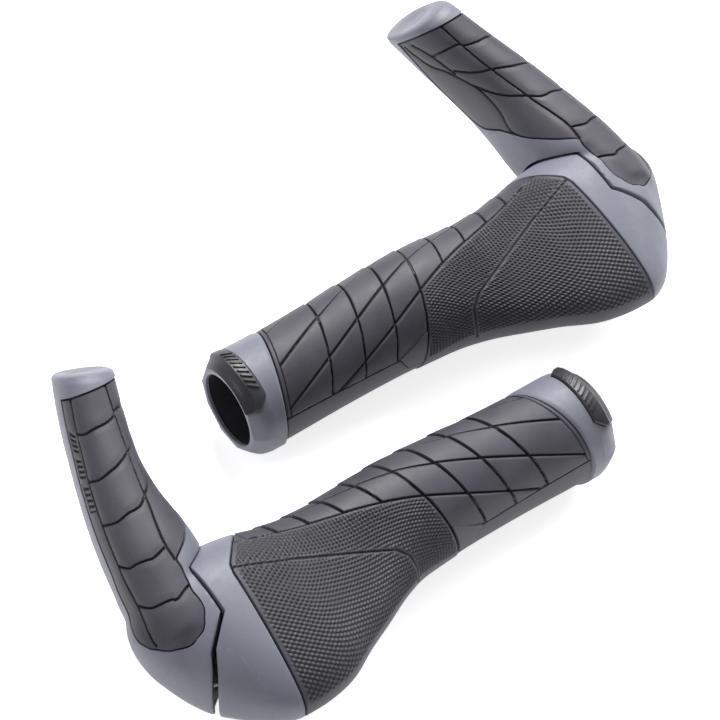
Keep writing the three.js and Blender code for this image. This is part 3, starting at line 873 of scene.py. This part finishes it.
def bar_section(y, angles):
    """Points of the bar end's sections at y (one row each); angles may differ from row to row."""
    y = np.atleast_1d(np.asarray(y, float))
    angles = np.broadcast_to(angles, (len(y), np.shape(angles)[-1]))
    rows = smooth_rows(BAR_END_STATIONS, y)
    centre = bar_axis(y)
    along = unit(bar_axis(y + 0.5) - bar_axis(y - 0.5))
    side = unit(np.array([1.0, 0, 0]) - along[:, :1] * along)
    up = np.cross(side, along)
    c, s = math.cos(BAR_END_LEAN), math.sin(BAR_END_LEAN)
    side, up = side * c + np.cross(along, side) * s, up * c + np.cross(along, up) * s
    u = (y - BAR_END_ORIGIN_Y) / BAR_END_SPAN
    half_width = (9.7 - 1.6 * u)[:, None]
    half_height = ((15.2 - 1.75 * u - 0.7 * u * u) * rows[:, 3])[:, None]
    blend = smoothstep(y, *FACE_BLEND)[:, None]
    face = unit(along * (1 - blend) + BAR_END_FACE * blend)
    c, s = np.cos(angles), np.sin(angles)
    share = np.where(s > 0, rows[:, 2, None], rows[:, 1, None])
    power = 2 / SECTION_POWER
    offset = (up[:, None] * (half_height * np.sign(c) * np.abs(c) ** power)[..., None]
              + side[:, None] * (half_width * share * np.sign(s) * np.abs(s) ** power)[..., None])
    lean = (offset * face[:, None]).sum(-1) / (along * face).sum(-1)[:, None]
    return centre[:, None] + offset - along[:, None] * lean[..., None]


ROOT_START = 115                      # x from which the grip's form is part of the bar end's root
FLANK_START = 90                      # x from which it is cut away as the flank
FORM_COLUMNS = 200
TURNS_CUT = (-8.5, -6, -4, -2, 0, 2.5)   # degrees of the swivel at which the flank is cut away
VOXEL = 0.5
END_DISH = 0.9                        # how deep the end face is hollowed
FILLET = 3.2                          # how wide the bar end flows into its root
FILLET_STEPS = 40


def bar_end_whole():
    """The bar end and its root as one smooth body."""
    y = np.concatenate([np.arange(-9, 71, 0.8), np.arange(71, 73.5, 0.12), [73.5]])
    tube = loft(bar_section(y, np.radians(np.arange(0, 360, 2.25))))
    root = loft(form_grid(FORM_COLUMNS)[round(ROOT_START / FORM_STEP):])
    combine(root, inboard_of(PARTING), "DIFFERENCE")
    trees = [BVHTree.FromPolygons(*mesh_arrays(thing)) for thing in (tube, root)]
    whole = combine(tube, root, "UNION")
    remesh = whole.modifiers.new("even", "REMESH")
    remesh.mode = "VOXEL"
    remesh.voxel_size = VOXEL
    settle(whole)
    points, faces = mesh_arrays(whole)
    both = [max(tree.find_nearest(Vector(p))[3] for tree in trees) for p in points]
    weight = 1 - smoothstep(np.array(both), 0.4 * FILLET, FILLET)
    outboard = from_parting(points)
    weight = weight * smoothstep(outboard, 0.6, 2.5) + 0.15 * smoothstep(outboard, 0.6, 1.2)
    points = relax(whole, points, np.clip(weight, 0, 1), FILLET_STEPS)
    set_points(whole, dish_end(round_parting(points)))
    return whole


def from_parting(points):
    """How far the points lie outboard of the parting, along the bar."""
    x, y = np.array(PARTING, float).T
    return points[:, 0] - np.interp(points[:, 1], y, x)


def round_parting(points):
    """The root's edge at the parting, rounded, and more so at the rear."""
    outboard = from_parting(points)
    radius = 0.5 + 1.5 * smoothstep(-points[:, 1], 6, 16)
    radial = np.linalg.norm(points[:, 1:], axis=1)
    fall = round_off(np.maximum(outboard, 0), radius) * smoothstep(radial, 12, 15)
    fall *= smoothstep(outboard, -0.6, -0.1) * (1 - smoothstep(points[:, 1], -2, 4))
    points[:, 1:] *= (1 - fall / radial)[:, None]
    return points


def dish_end(points):
    """The outer end's face, hollowed."""
    from_end = points - bar_axis(np.array([BAR_END_STATIONS[-1][0]]))
    above = from_end @ BAR_END_FACE
    across = np.linalg.norm(from_end - above[:, None] * BAR_END_FACE, axis=1)
    dish = END_DISH * (1 - smoothstep(across, 2, 8)) * smoothstep(above, -4, -2)
    return points - dish[:, None] * BAR_END_FACE


def relax(thing, points, weight, steps):
    """The points, each moved towards its neighbours' middle as far as its weight says."""
    mesh = thing.data
    edges = np.empty(len(mesh.edges) * 2, np.int32)
    mesh.edges.foreach_get("vertices", edges)
    a, b = edges.reshape(-1, 2).T
    count = np.bincount(a, minlength=len(points)) + np.bincount(b, minlength=len(points))
    share = (0.5 * weight / np.maximum(count, 1))[:, None]
    for _ in range(steps):
        total = [np.bincount(a, points[b, k], len(points)) + np.bincount(b, points[a, k], len(points))
                 for k in range(3)]
        points = points + share * (np.stack(total, -1) - count[:, None] * points)
    return points


def set_points(thing, points):
    """Moves a working solid's vertices."""
    thing.data.vertices.foreach_set("co", points.astype(np.float32).ravel())
    thing.data.update()


# ---- bar end pad -------------------------------------------------------------------------------
# The pad's borders as (y of the section, degrees round it from the top towards the outer side).
PAD_INNER_BORDER = [
    (74, -104), (68, -110), (62, -117), (55, -125), (47, -126), (41, -112), (36, -92), (30, -76), (24.8, -64),
    (20, -51), (15.5, -38), (12.5, -27), (10.2, -20), (7, -24.5), (2.5, -29), (-0.5, -32), (-3, -39),
    (-5, -42.5), (-6.8, -42), (-8.4, -35), (-9.8, -25), (-10.8, -10), (-11.35, 5), (-11.6, 17),
]
PAD_OUTER_BORDER = [
    (74, 63), (69, 64), (56, 66), (34, 68), (20, 70), (6, 74), (0, 74), (-2, 72), (-4.3, 69), (-6.2, 64),
    (-8.4, 56), (-9.7, 46), (-10.7, 36), (-11.3, 27), (-11.6, 18),
]
PAD_BORDER_POINT = np.array([122, 60.8, 36])
PAD_BORDER_NORMAL = unit(np.array([-0.07, 0.71, 0.7]))
PAD_THICKNESS = 2.2
DEGREES_PER_MM = 3.8                  # round the bar end's section
PAD_ROWS = 300
PAD_COLUMNS = 160
PAD_START = -11.55                    # y of the pad's lowest end
PAD_REACH = 72.5                      # y past the pad's upper end, where its surface is read to
PAD_BED_GAP = 0.25
PAD_GROOVE = (0.28, 0.55)             # half-width, depth
PAD_SINK = 0.15                       # the pad lies this much below the body's surface

# Grooves as lines of (y of the section, degrees round it from the top towards the outer side).
PAD_GROOVES = [
    [(70.5, -26), (63, -31), (48, -33), (32.6, -24), (24, -18), (16, -15), (10.5, -18)],
    [(69.5, 41), (62, 43), (43, 45), (30.4, 47), (18.2, 49), (5.8, 50), (-5.2, 62)],
    [(58.5, 43), (58.2, 28), (59.5, 10), (61, -10), (62.5, -28), (64.2, -40), (64.4, -80)],
    [(42.8, 45), (41.5, 24), (42.5, 3), (45, -15), (48, -31), (50.5, -45), (53, -56), (57.5, -75)],
    [(30.3, 47), (28.8, 31), (28.2, 18), (29, 3), (29.8, -10), (32, -20), (34.2, -29), (38, -45), (43.5, -61),
     (49.2, -72)],
    [(18.2, 49), (15.2, 34), (14.5, 21), (13.8, 7), (13.5, 0), (15, -13)],
    [(5.8, 49), (2, 32), (0.2, 7), (-0.5, 1), (1.8, -28)],
    [(69.5, -90), (64.2, -82), (56.5, -78)],
    [(69.5, -103), (62.8, -97), (57.8, -84), (50.5, -74), (44.8, -70), (37.8, -70), (31, -75), (25, -66)],
]


def smooth_line(points, steps):
    """A Catmull-Rom curve through the points."""
    points = np.asarray(points, float)
    places = np.linspace(0, len(points) - 1, steps)
    k = np.minimum(places.astype(int), len(points) - 2)
    t = (places - k)[:, None]

    def row(i):
        return points[np.clip(i, 0, len(points) - 1)]

    a, b, c, d = row(k - 1), row(k), row(k + 1), row(k + 2)
    return 0.5 * (2 * b + (c - a) * t + (2 * a - 5 * b + 4 * c - d) * t**2
                  + (3 * b - a - 3 * c + d) * t**3)


def project(tree, y, degrees):
    """Points of the surface, seen from the bar end's axis in the direction of its sections."""
    points = np.concatenate([bar_section([at], np.radians([angle])) for at, angle in zip(y, degrees)])[:, 0]
    return cast(tree, bar_axis(np.asarray(y, float)), points)


def cast(tree, centres, points):
    """Where rays from the centres through the points leave the surface."""
    out = points.copy()
    for k, (centre, point) in enumerate(zip(centres, points)):
        ray = Vector(point - centre)
        hit = tree.ray_cast(Vector(centre), ray.normalized(), 60)[0]
        if hit is not None:
            out[k] = hit
    return out


def pad_borders(y):
    """The angles where the pad starts and ends on the rows at y."""
    return [np.interp(y, *smooth_line(sorted(line), 200).T) for line in (PAD_INNER_BORDER, PAD_OUTER_BORDER)]


def pad_surface(tree, grow):
    """A grid of the surface under the pad, its borders moved out by grow millimetres."""
    dense = 420
    y = PAD_START - grow + (PAD_REACH - PAD_START + grow) * np.linspace(0, 1, dense) ** 1.25
    reach = grow * DEGREES_PER_MM
    lines = [pad_borders(y + shift) for shift in (-grow, 0, grow)]
    low = np.min([line[0] for line in lines], axis=0) - reach
    high = np.max([line[1] for line in lines], axis=0) + reach
    share = np.linspace(0, 1, PAD_COLUMNS)
    degrees = low[:, None] + (high - low)[:, None] * share
    tube = bar_section(y, np.radians(degrees))
    centres = np.repeat(bar_axis(y), PAD_COLUMNS, axis=0)
    surface = cast(tree, centres, tube.reshape(-1, 3)).reshape(tube.shape)
    level = (surface - PAD_BORDER_POINT) @ PAD_BORDER_NORMAL - grow
    end = crossing(level)
    places = end * np.linspace(0, 1, PAD_ROWS)[:, None]
    grid = read_rows(surface, places)
    marks = np.stack([np.broadcast_to(y[:, None], degrees.shape), degrees], -1)
    return grid, read_rows(marks, places)


def slab(upper, lower):
    """A closed body between two open grids of the same size."""
    rows, columns = upper.shape[:2]
    size = rows * columns
    index = np.arange(size).reshape(rows, columns)
    top = np.stack([index[:-1, :-1], index[:-1, 1:], index[1:, 1:], index[1:, :-1]], -1).reshape(-1, 4)
    rim = np.concatenate([index[0], index[1:, -1], index[-1, -2::-1], index[-2:0:-1, 0]])
    after = np.roll(rim, -1)
    wall = np.stack([after, rim, rim + size, after + size], -1)
    faces = np.concatenate([top, top[:, ::-1] + size, wall])
    return np.concatenate([upper.reshape(-1, 3), lower.reshape(-1, 3)]), faces


HATCH_PANELS = [(59, 52.4), (50.8, 44.2), (42.6, 34.6)]   # y where each starts and ends
HATCH_SPAN = (48.5, 61)               # degrees
HATCH_PITCH = 1.65


def pad_grooves(tree, grid, marks):
    """Distance of each grid point to the nearest groove or hatching line."""
    samples = []
    for line in PAD_GROOVES:
        curve = smooth_line(line, 30 * len(line))
        samples.append(project(tree, curve[:, 0], curve[:, 1]))
    samples = np.concatenate(samples)
    near = KDTree(len(samples))
    for k, point in enumerate(samples):
        near.insert(point, k)
    near.balance()
    distance = np.array([near.find(point)[2] for point in grid.reshape(-1, 3)]).reshape(grid.shape[:2])
    y, degrees = marks[..., 0], marks[..., 1]
    for start, end in HATCH_PANELS:
        slanted = y - 0.09 * (degrees - HATCH_SPAN[0])
        strip = (slanted < start) & (slanted > end) & (degrees > HATCH_SPAN[0]) & (degrees < HATCH_SPAN[1])
        lines = (1 - triangle(slanted / HATCH_PITCH)) * HATCH_PITCH / 2
        distance = np.where(strip, np.minimum(distance, lines), distance)
    return distance


def add_bar_end():
    whole = bar_end_whole()
    tree = BVHTree.FromPolygons(*mesh_arrays(whole))
    grid, marks = pad_surface(tree, 0)
    normal = grid_normals(grid, closed=False)
    middle = (PAD_ROWS // 2, PAD_COLUMNS // 2)
    if normal[middle] @ (grid[middle] - bar_axis(marks[middle][:1])[0]) < 0:
        normal = -normal
    groove = pad_grooves(tree, grid, marks)
    rim = edge_distance(grid)
    height = (valley(groove, *PAD_GROOVE) - 0.14 * (1 - smoothstep(groove, 0.2, 2.2)) - PAD_SINK
              - round_off(rim, 0.5))
    upper = grid + normal * height[..., None]
    lower = grid - normal * PAD_THICKNESS
    points, faces = slab(upper, lower)
    grooves = np.concatenate([groove.ravel(), np.full(groove.size, NO_GROOVE)])
    pad = solid(points, faces)
    add_pieces("bar_end_pad", *mesh_arrays(pad), RUBBER, "bar_end", "black_rubber", grooves)
    bpy.data.objects.remove(pad)
    bed_grid, _ = pad_surface(tree, PAD_BED_GAP)
    bed_normal = grid_normals(bed_grid, closed=False)
    if bed_normal[middle] @ normal[middle] < 0:
        bed_normal = -bed_normal
    bed = solid(*slab(bed_grid + bed_normal * 1.5, bed_grid - bed_normal * (PAD_THICKNESS + 0.2)))
    combine(whole, bed, "DIFFERENCE")
    for turn in TURNS_CUT:
        combine(whole, turned_flank(turn), "DIFFERENCE")
    for tool in clamp_pocket():
        combine(whole, tool, "DIFFERENCE")
    add_pieces("bar_end_body", *mesh_arrays(whole), GREY, "bar_end", "grey_plastic")
    bpy.data.objects.remove(whole)


def edge_distance(grid):
    """Rough distance of each grid point to the grid's border."""
    across = np.linalg.norm(np.diff(grid, axis=1), axis=2)
    along = np.linalg.norm(np.diff(grid, axis=0), axis=2)
    from_left = np.pad(np.cumsum(across, axis=1), ((0, 0), (1, 0)))
    from_top = np.pad(np.cumsum(along, axis=0), ((1, 0), (0, 0)))
    sides = [from_left, from_left[:, -1:] - from_left, from_top, from_top[-1:] - from_top]
    return np.minimum.reduce(sides)


def turned_flank(degrees):
    """The grip's flank, grown by the parting gap and turned about the bar."""
    flank = loft(form_grid(FORM_COLUMNS, PART_GAP)[round(FLANK_START / FORM_STEP):])
    combine(flank, inboard_of(PARTING), "INTERSECT")
    flank.data.transform(Matrix.Rotation(math.radians(-degrees), 4, "X"))
    return flank


def clamp_pocket():
    """Tools for the bar's hole, the clamp's pocket and the bolt's way in."""
    yield bar(BORE_RADIUS, -FAR, 138)
    yield bar(14, 127, 136)
    yield prism([(127, 0), (137.8, 0), (137.8, 24.3), (127, 24.3)], 0.9, 16)
    yield bar(5.2, -FAR, 1.2, axis="z", centre=(132.6, 19), facets=48)


add_grip_skins()
add_collar()
add_insert()
add_bar_end()

CAD_LOOKS = {
    "inner_sleeve": BLACK,
    "clamp_ring": ALLOY,
    "clamp_bolt": BLACK_STEEL,
    "clamp_washer": ZINC,
    "clamp_nut": ZINC,
}
for side in SIDES:
    for name, look in CAD_LOOKS.items():
        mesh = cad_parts[f"{side}_{name}"].data
        mesh.materials.clear()
        mesh.materials.append(look)

boxes = {"cad": cad_box, "visual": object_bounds()}
{name: [list(corner) for corner in box] for name, box in boxes.items()}
